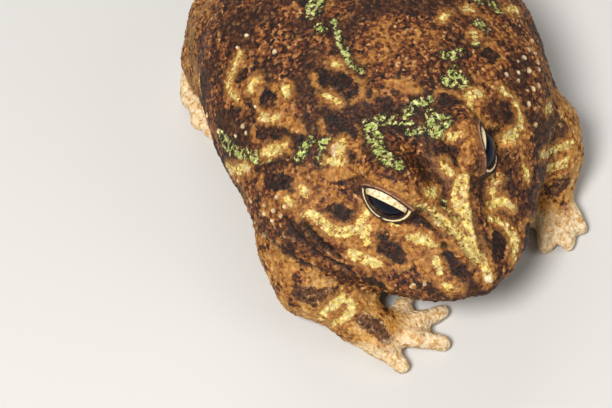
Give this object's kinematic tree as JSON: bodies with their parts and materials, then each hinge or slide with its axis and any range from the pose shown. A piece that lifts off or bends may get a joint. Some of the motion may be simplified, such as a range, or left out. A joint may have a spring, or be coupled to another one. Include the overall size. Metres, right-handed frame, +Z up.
{
  "type": "horned frog",
  "caption": "Still, life-size Argentine horned frog sitting low on its belly, with the head turned a little to its left, small fleshy horns over the eyes and the mouth closed.",
  "frame": {"origin": "on the floor, below the middle of the whole animal", "axes": "+Z up, the frog's body faces -Y, its left side is +X"},
  "size_m": [0.089, 0.1182, 0.0473],
  "materials": {
    "skin": "granular, slightly moist skin",
    "eye": "wet gloss"
  },
  "bodies": {
    "root": {"head": "skin", "lower_jaw": "skin", "torso": "skin", "foreleg_right": "skin", "hand_right": "skin", "hind_leg_right": "skin", "foot_right": "skin", "foreleg_left": "skin", "hand_left": "skin", "hind_leg_left": "skin", "foot_left": "skin", "eye_right": "eye", "eye_left": "eye"}
  },
  "joints": []
}
